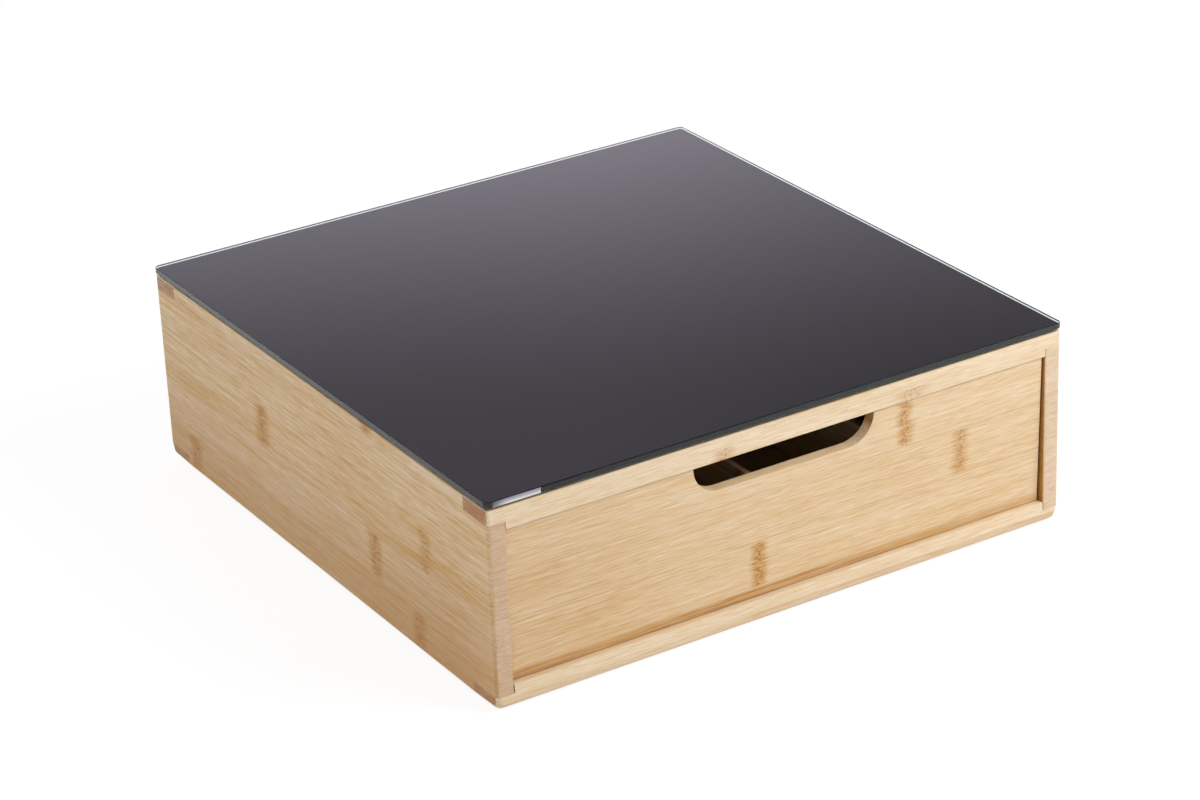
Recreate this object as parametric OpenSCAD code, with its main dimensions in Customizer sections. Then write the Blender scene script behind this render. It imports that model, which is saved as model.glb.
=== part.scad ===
// Coffee capsule drawer: a bamboo case under a glass plate, with one sliding drawer.
// Sizes are in millimetres. +Z is up and the drawer opens towards -Y. The origin is the
// middle of the footprint, on the surface that the feet stand on.

/* [Case] */
// Outside width of the wooden case
case_w = 309; // [240:1:400]
// Outside depth of the wooden case, front to back
case_d = 317; // [240:1:400]
// Height of the wooden case without its feet and glass
case_h = 97.6; // [80:0.1:140]
// Thickness of a side panel
side_t = 9; // [8:0.5:14]
// Depth of a rail, front to back
rail_d = 20; // [18:1:30]
// Height of the two top rails
top_rail_h = 11.2; // [9:0.1:16]
// Height of the two bottom rails
bottom_rail_h = 11.2; // [10:0.1:16]
// Height of the lip that laps a rail over the end of a side panel
lip_h = 7; // [6:0.25:8]
// Radius of the rounded bottom edges
base_edge_r = 3; // [0.5:0.25:4]
// Radius of the upright corners of the case
corner_r = 2; // [0.5:0.25:3]
// Radius of the other rounded edges of the sides and rails
edge_r = 0.75; // [0.5:0.25:2]
// Room for glue between the shoulders of a rail and the side panels
shoulder_gap = 0.2; // [0:0.05:0.5]

/* [Case panels] */
// Thickness of the back panel
back_t = 4; // [3:0.25:5]
// How far the back panel stands in from the rear face
back_inset = 3; // [2:0.25:3.5]
// Thickness of the bottom panel
base_t = 4; // [3:0.25:4.5]
// Height of the bottom panel above the underside of the case
base_lift = 3; // [2:0.25:3.5]
// Depth of the grooves that hold the back and bottom panels
groove_d = 3; // [2:0.25:4]
// Room for a panel or a divider in its groove
groove_fit = 0.2; // [0.1:0.05:0.4]
// Width of a runner that carries the drawer
runner_w = 10; // [8:1:16]

/* [Glass top] */
// Thickness of the glass plate
glass_t = 3; // [3:0.5:8]
// How far the glass overhangs the case on each side
glass_over = 0.5; // [0:0.25:3]
// Radius of the corners of the glass
glass_r = 3; // [2:0.5:10]
// Thickness of the black film under the glass
film_t = 0.2; // [0.1:0.05:0.5]
// Clear border of the glass around the film
film_border = 1; // [0.5:0.25:4]
// Diameter of a clear bedding pad
pad_d = 10; // [6:1:14]
// Thickness of a clear bedding pad
pad_t = 1.1; // [0.2:0.1:2]
// Distance of the corner pads from the sides of the case
pad_inset = 15; // [10:1:40]

/* [Drawer] */
// Thickness of the drawer front
front_t = 6; // [5:0.5:10]
// How far the top of the closed drawer front stands back from the front of the case
front_set_back = 1.2; // [0:0.1:4]
// Lean of the drawer front in degrees, which takes its lower edge further back
front_lean = 1.5; // [0:0.1:3]
// Gap between the drawer and the left side panel
left_gap = 0.3; // [0.3:0.1:2]
// Gap between the drawer and the right side panel
right_gap = 1.1; // [0.3:0.1:2]
// Gap above and below the drawer front
edge_gap = 0.5; // [0.3:0.1:1.5]
// Running gap between the drawer and what it slides on or stops against
run_gap = 0.2; // [0.1:0.05:0.5]
// Length of the finger slot
slot_l = 97.5; // [70:0.5:140]
// Radius of the slot's round ends, which is also its depth
slot_r = 14; // [10:0.5:18]
// Thickness of the drawer's sides and back
box_t = 6; // [5:0.5:9]
// How far the drawer's sides and back stop below the top of its front
box_drop = 26; // [20:1:34]
// Thickness of the drawer bottom
tray_t = 3; // [2.5:0.25:4]
// Height of the drawer bottom above the lower edges of the drawer's sides
tray_lift = 5; // [3:0.5:8]
// Depth of the grooves that hold the drawer bottom
tray_groove_d = 3; // [2:0.25:3.5]
// Thickness of a divider
divider_t = 3; // [2:0.25:5]
// How far the dividers stop below the drawer's sides
divider_drop = 2; // [0.5:0.5:6]
// Depth of the stopped grooves that hold the ends of the dividers
divider_groove_d = 2; // [1:0.25:3]

/* [Stops and feet] */
// Diameter of a felt stop on the drawer's back
stop_d = 12; // [8:1:16]
// Thickness of a felt stop
stop_t = 1.5; // [1:0.25:4]
// Distance of the felt stops from the ends of the drawer's back
stop_inset = 25; // [12:1:60]
// Diameter of an anti-slip foot
foot_d = 12; // [8:1:16]
// Thickness of an anti-slip foot
foot_h = 1; // [0.8:0.1:3]
// Distance of the feet from the sides of the case
foot_inset = 15; // [10:1:40]

/* [Dowels] */
// Diameter of a case dowel
case_dowel_d = 4; // [3:0.25:5]
// Length of a case dowel
case_dowel_l = 16; // [12:1:24]
// How deep a case dowel sits in the lip of a rail
case_dowel_in = 5; // [3:0.25:5.5]
// Diameter of a drawer dowel
box_dowel_d = 3; // [2:0.25:3.5]
// Length of a drawer dowel
box_dowel_l = 18; // [12:1:24]
// How deep a drawer dowel sits in the board that it meets face on
box_dowel_in = 4; // [2.5:0.25:4.5]
// Distance of the drawer dowels from the drawer bottom and from the top edges
box_dowel_margin = 7; // [4:0.5:9]
// Room around a dowel in its hole
dowel_fit = 0.05; // [0.02:0.01:0.1]
// Room at the deep end of a dowel's hole
dowel_end_room = 0.5; // [0.2:0.1:1]

/* [Hidden] */
$fn = 64;
bamboo = [0.86, 0.72, 0.50];
bamboo_face = [0.84, 0.69, 0.46];
bamboo_pale = [0.90, 0.79, 0.58];

case_top = foot_h + case_h;
opening_w = case_w - 2 * side_t;
opening_floor = foot_h + bottom_rail_h;
opening_top = case_top - top_rail_h;
rail_mid_y = case_d / 2 - rail_d / 2;
rail_inner_y = case_d / 2 - rail_d;
back_outer_y = case_d / 2 - back_inset;
back_inner_y = back_outer_y - back_t;
base_z = foot_h + base_lift;
film_z = case_top + pad_t;
glass_z = film_z + film_t;

drawer_x = (left_gap - right_gap) / 2;
front_w = opening_w - left_gap - right_gap;
front_low = opening_floor + edge_gap;
front_top = opening_top - edge_gap;
front_y = front_set_back - case_d / 2;
front_h = (front_top - front_low - front_t * sin(front_lean)) / cos(front_lean);
box_low = opening_floor + run_gap;
box_top = front_top - box_drop;
box_in_w = front_w - 2 * box_t;
box_rear_y = back_inner_y - run_gap - stop_t;
box_in_rear_y = box_rear_y - box_t;
tray_z = box_low + tray_lift;
tray_top = tray_z + tray_t;
divider_top = box_top - divider_drop;
divider_places = [-1, 0, 1];
row_count = len(divider_places) + 1;
divider_pitch = (box_in_w + divider_t) / row_count;
box_dowel_heights = [tray_top + box_dowel_margin, box_top - box_dowel_margin];

// A block given by its lowest and highest corners
module block(low, high) {
    translate(low) cube(high - low);
}

// The children, and their mirror images across the middle of an axis
module both(axis) {
    children();
    mirror(axis) children();
}

// A rectangle that stands on the X axis, with its lower and upper corners rounded
module standing_outline(w, h, r_low, r_high) {
    translate([-w / 2, r_low]) square([w, h - r_low - r_high]);
    translate([r_low - w / 2, 0]) square([w - 2 * r_low, h / 2]);
    translate([r_high - w / 2, h / 2]) square([w - 2 * r_high, h / 2]);
    both([1, 0]) {
        translate([w / 2 - r_low, r_low]) circle(r_low);
        translate([w / 2 - r_high, h - r_high]) circle(r_high);
    }
}

// A rectangle round the origin with rounded corners
module plate_outline(w, d, r) {
    translate([0, -d / 2]) standing_outline(w, d, r, r);
}

// The whole outside of the wooden case with its rounded edges, as sanded after gluing
module case_outside() {
    translate([0, 0, foot_h]) intersection() {
        rotate([90, 0, 0]) linear_extrude(case_d, center = true)
            standing_outline(case_w, case_h, base_edge_r, edge_r);
        rotate([90, 0, 90]) linear_extrude(case_w, center = true)
            standing_outline(case_d, case_h, base_edge_r, edge_r);
        linear_extrude(case_h) plate_outline(case_w, case_d, corner_r);
    }
}

// The back panel, or its groove when there is room to spare
module back_board(tongue, room) {
    block(
        [-opening_w / 2 - tongue, back_inner_y - room / 2, opening_floor - tongue],
        [opening_w / 2 + tongue, back_outer_y + room / 2, opening_top + tongue]
    );
}

// The bottom panel, or its groove when there is room to spare
module base_board(tongue, room) {
    block(
        [-opening_w / 2 - tongue, -rail_inner_y - tongue, base_z],
        [opening_w / 2 + tongue, rail_inner_y + tongue, base_z + base_t + room]
    );
}

module case_grooves() {
    back_board(groove_d, groove_fit);
    base_board(groove_d, groove_fit);
}

// One dowel at each lapped corner, standing in the lip of the rail and the end of the side
module case_pins(d, room) {
    x = case_w / 2 - side_t / 2;
    length = case_dowel_l + room;
    both([1, 0, 0]) both([0, 1, 0]) translate([x, rail_mid_y, 0]) {
        translate([0, 0, foot_h + lip_h - case_dowel_in]) cylinder(d = d, h = length);
        translate([0, 0, case_top - lip_h + case_dowel_in - length]) cylinder(d = d, h = length);
    }
}

module case_dowel_holes() {
    case_pins(case_dowel_d + 2 * dowel_fit, dowel_end_room);
}

// The right side panel; the left one is its mirror image
module side_panel() {
    intersection() {
        case_outside();
        difference() {
            translate([case_w / 2 - side_t / 2, 0, foot_h]) linear_extrude(case_h)
                plate_outline(side_t, case_d, edge_r);
            both([0, 1, 0]) {
                block([opening_w / 2, rail_inner_y, foot_h], [case_w / 2, case_d / 2, foot_h + lip_h]);
                block([opening_w / 2, rail_inner_y, case_top - lip_h], [case_w / 2, case_d / 2, case_top]);
            }
            case_grooves();
            case_dowel_holes();
        }
    }
}

// A rear rail between two heights, with lips between two others; a front rail is its mirror image
module rail_blank(low, high, lip_low, lip_high) {
    translate([0, rail_mid_y, low]) rotate([90, 0, 90])
        linear_extrude(opening_w - 2 * shoulder_gap, center = true)
            standing_outline(rail_d, high - low, edge_r, edge_r);
    block([-case_w / 2, rail_inner_y, lip_low], [case_w / 2, case_d / 2, lip_high]);
}

module top_rail_blank() {
    rail_blank(opening_top, case_top, case_top - lip_h, case_top);
}

module bottom_rail_blank() {
    rail_blank(foot_h, opening_floor, foot_h, foot_h + lip_h);
}

module finished_rail() {
    intersection() {
        case_outside();
        difference() {
            children();
            case_grooves();
            case_dowel_holes();
        }
    }
}

// The right runner; the left one is its mirror image
module runner() {
    block(
        [opening_w / 2 - runner_w, -rail_inner_y, base_z + base_t],
        [opening_w / 2, rail_inner_y, opening_floor]
    );
}

// Moves what is drawn about the drawer's middle to where its side gaps put the drawer
module drawer_placed() {
    translate([drawer_x, 0, 0]) children();
}

// The place of the back of the leaning drawer front at a height
function front_back_y(z) = front_y + front_t * cos(front_lean) + (front_top - z) * tan(front_lean);

// Moves what is drawn from the top edge of the front's face to the leaning drawer front
module leaning() {
    translate([0, front_y, front_top - front_t * sin(front_lean)]) rotate([front_lean, 0, 0]) children();
}

// The drawer front and all the room before it, less a depth at its back
module front_room(depth) {
    leaning() block([-case_w, -case_d, -case_h], [case_w, front_t - depth, 0]);
}

// The finger slot, a long hole with round ends about the middle of the front's top edge
module finger_slot_outline() {
    square([slot_l - 2 * slot_r, 2 * slot_r], center = true);
    both([1, 0]) translate([slot_l / 2 - slot_r, 0]) circle(slot_r);
}

module drawer_front_outline() {
    difference() {
        translate([-front_w / 2, -front_h]) square([front_w, front_h]);
        finger_slot_outline();
    }
}

// The drawer bottom, or its groove when there is room to spare
module tray_board(tongue, room) {
    difference() {
        block(
            [-box_in_w / 2 - tongue, front_y, tray_z],
            [box_in_w / 2 + tongue, box_in_rear_y + tongue, tray_top + room]
        );
        front_room(tongue);
    }
}

// A divider counted from the middle one, or its grooves when there is room to spare
module divider_board(place, tongue, room) {
    x = place * divider_pitch;
    t = divider_t + room;
    difference() {
        block(
            [x - t / 2, front_y, tray_top],
            [x + t / 2, box_in_rear_y + tongue, divider_top + room]
        );
        front_room(tongue);
    }
}

module drawer_grooves() {
    tray_board(tray_groove_d, groove_fit);
    for (place = divider_places) divider_board(place, divider_groove_d, groove_fit);
}

// Dowels that join each drawer side to the front and to the back
module box_pins(d, room) {
    length = box_dowel_l + room;
    x = front_w / 2 - box_t / 2;
    y = box_rear_y - box_t / 2;
    both([1, 0, 0]) for (z = box_dowel_heights) {
        translate([x, front_back_y(z) - box_dowel_in, z]) rotate([-90, 0, 0]) cylinder(d = d, h = length);
        translate([box_in_w / 2 + box_dowel_in, y, z]) rotate([0, -90, 0]) cylinder(d = d, h = length);
    }
}

module box_dowel_holes() {
    box_pins(box_dowel_d + 2 * dowel_fit, dowel_end_room);
}

// The right drawer side; the left one is its mirror image
module drawer_side() {
    difference() {
        block([box_in_w / 2, front_y, box_low], [front_w / 2, box_rear_y, box_top]);
        front_room(0);
        tray_board(tray_groove_d, groove_fit);
        box_dowel_holes();
    }
}

module left_side_panel() {
    color(bamboo) mirror([1, 0, 0]) side_panel();
}

module right_side_panel() {
    color(bamboo) side_panel();
}

module top_front_rail() {
    color(bamboo_pale) finished_rail() mirror([0, 1, 0]) top_rail_blank();
}

module top_rear_rail() {
    color(bamboo_pale) finished_rail() top_rail_blank();
}

module bottom_front_rail() {
    color(bamboo_pale) finished_rail() mirror([0, 1, 0]) bottom_rail_blank();
}

module bottom_rear_rail() {
    color(bamboo_pale) finished_rail() bottom_rail_blank();
}

module back_panel() {
    color(bamboo) back_board(groove_d - groove_fit, 0);
}

module bottom_panel() {
    color(bamboo) base_board(groove_d - groove_fit, 0);
}

module left_runner() {
    color(bamboo_pale) mirror([1, 0, 0]) runner();
}

module right_runner() {
    color(bamboo_pale) runner();
}

module glass_top() {
    color([0.75, 0.85, 0.84, 0.4]) translate([0, 0, glass_z]) linear_extrude(glass_t)
        plate_outline(case_w + 2 * glass_over, case_d + 2 * glass_over, glass_r);
}

module glass_backing() {
    margin = glass_over - film_border;
    corner_r = max(glass_r - film_border, film_border);
    color([0.05, 0.05, 0.06]) translate([0, 0, film_z]) linear_extrude(film_t)
        plate_outline(case_w + 2 * margin, case_d + 2 * margin, corner_r);
}

// Pads near both ends and in the middle of each top rail
module glass_pads() {
    end_x = case_w / 2 - pad_inset;
    color([0.9, 0.9, 0.9, 0.5]) both([0, 1, 0]) for (x = [-end_x, 0, end_x])
        translate([x, rail_mid_y, case_top]) cylinder(d = pad_d, h = pad_t);
}

module case_dowels() {
    color(bamboo_pale) case_pins(case_dowel_d, 0);
}

module feet() {
    color([0.25, 0.25, 0.25]) both([1, 0, 0]) both([0, 1, 0])
        translate([case_w / 2 - foot_inset, rail_mid_y, 0]) cylinder(d = foot_d, h = foot_h);
}

module drawer_front() {
    color(bamboo_face) drawer_placed() difference() {
        leaning() translate([0, front_t, 0]) rotate([90, 0, 0]) linear_extrude(front_t)
            drawer_front_outline();
        drawer_grooves();
        box_dowel_holes();
    }
}

module drawer_left_side() {
    color(bamboo) drawer_placed() mirror([1, 0, 0]) drawer_side();
}

module drawer_right_side() {
    color(bamboo) drawer_placed() drawer_side();
}

module drawer_back() {
    color(bamboo) drawer_placed() difference() {
        block([-box_in_w / 2, box_in_rear_y, box_low], [box_in_w / 2, box_rear_y, box_top]);
        drawer_grooves();
        box_dowel_holes();
    }
}

module drawer_bottom() {
    color(bamboo_pale) drawer_placed() tray_board(tray_groove_d - groove_fit, 0);
}

module left_divider() {
    color(bamboo_pale) drawer_placed() divider_board(-1, divider_groove_d - groove_fit, 0);
}

module centre_divider() {
    color(bamboo_pale) drawer_placed() divider_board(0, divider_groove_d - groove_fit, 0);
}

module right_divider() {
    color(bamboo_pale) drawer_placed() divider_board(1, divider_groove_d - groove_fit, 0);
}

module drawer_dowels() {
    color(bamboo_pale) drawer_placed() box_pins(box_dowel_d, 0);
}

module drawer_stops() {
    color([0.45, 0.43, 0.40]) drawer_placed() both([1, 0, 0])
        translate([box_in_w / 2 - stop_inset, box_rear_y, (box_low + box_top) / 2])
            rotate([-90, 0, 0]) cylinder(d = stop_d, h = stop_t);
}

left_side_panel();
right_side_panel();
top_front_rail();
top_rear_rail();
bottom_front_rail();
bottom_rear_rail();
back_panel();
bottom_panel();
left_runner();
right_runner();
glass_top();
glass_backing();
glass_pads();
case_dowels();
feet();
drawer_front();
drawer_left_side();
drawer_right_side();
drawer_back();
drawer_bottom();
left_divider();
centre_divider();
right_divider();
drawer_dowels();
drawer_stops();
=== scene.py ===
"""Looks of a coffee capsule drawer: bamboo boards, a black-backed glass top and their small pieces."""

import math
import random
from collections import namedtuple
from functools import partial, partialmethod

import bmesh
import bpy
from bpy.props import FloatProperty, FloatVectorProperty, IntProperty, PointerProperty
from mathutils import Matrix, Vector


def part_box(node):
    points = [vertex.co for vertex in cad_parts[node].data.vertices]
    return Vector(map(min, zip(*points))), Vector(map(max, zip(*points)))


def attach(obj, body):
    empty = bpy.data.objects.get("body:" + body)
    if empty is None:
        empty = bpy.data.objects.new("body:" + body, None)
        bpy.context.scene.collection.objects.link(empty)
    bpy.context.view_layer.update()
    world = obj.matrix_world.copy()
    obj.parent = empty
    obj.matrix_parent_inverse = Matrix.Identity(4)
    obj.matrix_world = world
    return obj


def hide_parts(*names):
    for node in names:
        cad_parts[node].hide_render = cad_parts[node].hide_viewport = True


bl_info = {
    "name": "Coffee capsule drawer",
    "version": (1, 0, 0),
    "blender": (4, 5, 0),
    "location": "View3D > Sidebar > Capsule drawer",
    "description": "Dresses a bamboo capsule drawer and sets up its studio",
    "category": "Object",
}

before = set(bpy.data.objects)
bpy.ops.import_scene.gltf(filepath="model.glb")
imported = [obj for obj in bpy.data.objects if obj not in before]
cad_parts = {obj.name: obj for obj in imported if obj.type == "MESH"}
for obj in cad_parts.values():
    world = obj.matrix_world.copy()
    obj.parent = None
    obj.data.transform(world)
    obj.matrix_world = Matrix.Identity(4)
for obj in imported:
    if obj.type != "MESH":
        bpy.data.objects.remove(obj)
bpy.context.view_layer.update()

MM = 0.001
WELD = 0.001 * MM
FLAT_ANGLE = math.radians(1)
SHARP_ANGLE = math.radians(40)
RIM_EDGE = 1.0 * MM

# Least share of a face's normal along an axis for it to look that way, or to lie level
FACE_ON = 0.9
LEVEL = 0.999

# Grain of the bamboo: its size in millimetres along the fibres, across them and through the board, and
# how much finer detail it has
FINE_GRAIN = ((28.0, 0.50, 0.50), 2.0)
STROKE_GRAIN = ((11.0, 0.45, 0.45), 1.0)
COARSE_GRAIN = ((50.0, 1.5, 1.5), 1.0)
BROAD_GRAIN = ((90.0, 9.0, 9.0), 1.0)
FLECK_GRAIN = ((9.0, 0.6, 0.6), 0.0)
DRIFT_GRAIN = ((70.0, 14.0, 14.0), 1.0)
FRINGE_GRAIN = ((30.0, 0.8, 0.8), 1.0)
SAWN_RIBS = ((900.0, 0.8, 6.0), 1.0)
SAWN_SPECKS = ((900.0, 0.6, 0.6), 1.0)
SAWN_LAYERS = ((900.0, 4.0, 9.0), 0.0)

# In millimetres: how far strips are slid against each other, how far their grain drifts, the dashes in
# plain and in feathered knots, and how far a knot stays from its board's ends
STRIP_SLIDE = 400.0
GRAIN_DRIFT = 1.2
KNOT_DASH = 1.7
FEATHER_DASH = 3.5
KNOT_MARGIN = 15

# Values of a board and colours of its finish, as the sockets of the bamboo's node group name them
BOARD_VALUES = ("Tone", "Strip edge", "Streaks", "End tone", "Low tone", "Low reach")
BAMBOO_COLOURS = ("Pale", "Tan", "Fibre", "Knot", "End pale", "End dark")

# Where a seam begins and where it is darkest, in strip widths from the middle of its strip
SEAM = (0.486, 0.4985)

# Share of the normal along the grain at which sawn ends begin to show, and at which nothing else does
SAWN_FACING = (0.8, 0.98)
LACQUER_SPREAD = 0.06

GLASS_IOR = 1.5
SMEAR_SHADE = 0.98

# The foil's outline round the edge of the glass, and where its faces lie in the ground-off depth
FOIL_SLANTS = [math.radians(slant) for slant in range(-60, 31, 10)]
FOIL_OUTER = 0.9
FOIL_INNER = 0.2

# Depth in which only the first row of a node's discs lies
DISC_ROW = 20 * MM

SENSOR_WIDTH = 36
KEY_SHAPE = 0.75
FLOOR_HALF = 6.0

# What the floor's glow and its lit shade add up to
FLOOR_WHITE = 1.1

# How a board is sawn: the axes along its grain, across its strips and through its thickness
Cut = namedtuple("Cut", "along across through")
CROSSWISE = Cut("x", "z", "y")
LENGTHWISE = Cut("y", "z", "x")
FLAT_CROSSWISE = Cut("x", "y", "z")
FLAT_LENGTHWISE = Cut("y", "x", "z")

# A darker mark: knots and patches in the grain, and on some boards painted shade. Its centre, its half
# sizes along and across the grain and the length of the dashes in it, in millimetres
Mark = namedtuple("Mark", "along across half_length half_width dash strength")

# One board: its slot and cut, its tone, its seed, where one strip's edge lies, how streaky it is, the
# tone of its sawn ends, how much it darkens towards its foot and over what height (partly the wood's own
# tone, partly painted shade near the floor and above the bottom rail), and its marks
Board = namedtuple(
    "Board",
    "slot cut tone seed strip_edge streaks end_tone low_tone low_reach marks",
    defaults=(0.0, 0.8, 0.40, 0.0, 70.0, ()),
)


def srgb(*values):
    """A colour given as 0 to 255 screen values, in the linear values that Blender's sockets take."""
    shares = [value / 255 for value in values]
    return [share / 12.92 if share <= 0.04045 else ((share + 0.055) / 1.055) ** 2.4 for share in shares]


def colour(name, description, default):
    """A colour that a user can change."""
    return FloatVectorProperty(
        name=name, description=description, subtype="COLOR", size=3, min=0, max=1, default=default
    )


def spot(name, description, default):
    """A place that a user can change."""
    return FloatVectorProperty(
        name=name, description=description, subtype="XYZ", unit="LENGTH", size=3, default=default
    )


def number(name, description, default, **kind):
    """A number of some kind that a user can change."""
    return FloatProperty(name=name, description=description, default=default, **kind)


length = partial(number, unit="LENGTH", min=0, precision=5)
fraction = partial(number, subtype="FACTOR", min=0, max=1)
brightness = partial(number, min=0)


def angle(name, description, degrees):
    """An angle that a user can change."""
    return number(name, description, math.radians(degrees), subtype="ANGLE")


def span(start, end):
    """Two angles, given in degrees."""
    return math.radians(start), math.radians(end)


# Where the light of the studio's walls begins to change, and where the change ends
WALL_TOP = span(17, 25.8)
WALL_ENDS = span(50, 78)
WALL_SHADED = span(30, 40)
MIRROR_ENDS = span(25, 45)
FILL_TOP = span(12, 28)
FILL_RIM = (0.4, 0.95)
FILL_RISE = 0.15
WALL_SHADE = 0.62
LEFT_WALL = (-0.9, 0.2)


class BambooFinish(bpy.types.PropertyGroup):
    """Colours and figure of the bamboo boards"""

    pale: colour("Pale wood", "The lightest tone between the fibres", srgb(245, 226, 196))
    tan: colour("Tan wood", "The darkest tone of the plain grain", srgb(211, 159, 71))
    # The fibre colour is also what a board darkens towards at its foot, there partly as painted shade
    fibre: colour("Fibres", "The short dark fibre dashes", srgb(188, 136, 68))
    # The knot colour also gives the dark dashes in the painted shade on the inside faces of the side panels
    knot: colour("Knots", "The fringed bands where the cane had a joint", srgb(172, 108, 46))
    end_pale: colour("Pale end grain", "Light tone of the sawn ends", srgb(234, 210, 180))
    end_dark: colour("Dark end grain", "Dark tone of the sawn ends", srgb(172, 116, 62))
    strip_width: length("Strip width", "Width of one glued strip of cane", 23.7 * MM)
    knot_length: length("Knot length", "Length of a knot along the grain", 9 * MM)
    feather_length: length("Feathered knot length", "Length of a feathered knot on the side panels", 13 * MM)
    joint_arris: length("Joint arris", "Rounding of the edges where boards meet", 0.1 * MM)
    joint_gap: length("Joint gap", "Widest gap that a tight joint closes", 0.3 * MM)
    corner_ball: length("Corner ball", "Radius of the ball-shaped corners at the foot of the case", 3.8 * MM)
    front_arris: length("Front arris", "Rounding of the drawer front and its finger slot", 0.35 * MM)
    front_reach: length("Front reach", "How far the front reaches into the gaps above and below", 0.25 * MM)
    slot_rim: length("Slot rim", "Depth below the top in which the back is rounded too", 16 * MM)
    box_arris: length("Box arris", "Rounding of the edges inside the drawer", 0.4 * MM)
    gloss: fraction("Roughness", "Roughness of the satin lacquer", 0.5)


class GlassFinish(bpy.types.PropertyGroup):
    """Glass plate, its black film and the plain foil strip on its edge"""

    tint: colour("Glass tint", "Tint of the clear glass", srgb(240, 250, 248))
    edge_tint: colour("Edge tint", "Tint of the ground edge", srgb(206, 232, 228))
    film: colour("Film", "Black film under the glass", srgb(24, 19, 26))
    # The foil's colours paint its reflections: bright in its lower part, darker in its upper part, and
    # fading to dark at the end where it starts
    foil: colour("Foil", "Lower part of the plain foil strip on the front edge", srgb(238, 234, 230))
    foil_shade: colour("Foil shade", "Upper part of the foil strip", srgb(150, 150, 164))
    foil_worn: colour("Foil worn", "Worn end of the foil strip", srgb(70, 78, 84))
    edge_round: length("Edge rounding", "Radius of the ground edge", 0.45 * MM)
    ground_off: length("Ground off", "How far the ground edge stands in, where the foil lies", 0.06 * MM)
    film_bond: length("Film bond", "How deep the film is bonded into the glass", 0.03 * MM)
    foil_length: length("Foil length", "Length of the foil strip", 23.8 * MM)
    foil_inset: length("Foil inset", "Distance of the foil strip from the glass corner", 3.5 * MM)
    edge_roughness: fraction("Edge roughness", "Roughness of the ground edge", 0.12)
    matt_front: fraction("Matt front", "Share of the front and rear edges that is ground matt", 0.03)
    matt_sides: fraction("Matt sides", "Share of the side edges that is ground matt", 0.09)
    matt_near: fraction("Matt near", "How much of the matt share is left at the front left corner", 0.05)


class SmallPieceFinish(bpy.types.PropertyGroup):
    """Feet, bedding pads and felt stops"""

    rubber: colour("Rubber", "Anti-slip feet", srgb(58, 57, 56))
    felt: colour("Felt", "Felt stops on the drawer's back", srgb(122, 116, 108))
    clear: colour("Clear pad", "Clear pads under the glass", srgb(236, 238, 236))
    chamfer: length("Chamfer", "Chamfer on the free face of a disc", 0.25 * MM)
    sides: IntProperty(name="Sides", description="Sides of a disc", min=16, max=128, default=48)


class StudioSetup(bpy.types.PropertyGroup):
    """Camera, light and floor"""

    azimuth: angle("Azimuth", "Camera's turn to the object's right", -31.4)
    elevation: angle("Elevation", "Camera's height angle", 25.3222)
    roll: angle("Roll", "Camera's turn about its own axis", -2.3437)
    distance: length("Distance", "Camera's distance from what it aims at", 1.72486)
    aim: spot("Aim", "Point that the camera aims at", (0.00228, 0.00284, 0.045))
    lens: number("Focal length", "For a 36 mm sensor", 107.206, unit="CAMERA", min=1)
    floor: colour("Floor", "Pale studio floor", (0.9, 0.9, 0.9))
    floor_glow: fraction("Floor glow", "Share of plain white in the floor where the camera sees it", 0.89)
    back_wall: brightness("Back wall", "Light from low on the wall behind the object", 2.32)
    walls: brightness("Walls", "Light from the other walls and the ceiling", 0.40)
    high_wall: brightness("High wall", "Light from high on the wall that the glass mirrors", 0.52)
    left_wall: fraction("Left wall", "Share of the light that the wall on the left gives", 0.68)
    fill: brightness("Fill", "Soft low light from the front left", 1.0)
    fill_turn: angle("Fill turn", "Direction of the soft light, from the back towards the right", -115)
    wall_tint: colour("Wall tint", "Tint of the light that the glass mirrors", (0.92, 0.855, 1.0))
    key_power: number("Key light", "Power of the key light", 11.8, unit="POWER")
    key_size: length("Key size", "Width of the key light", 0.9)
    key_place: spot("Key place", "Where the key light hangs", (0.7, -0.8, 0.9))


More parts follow.
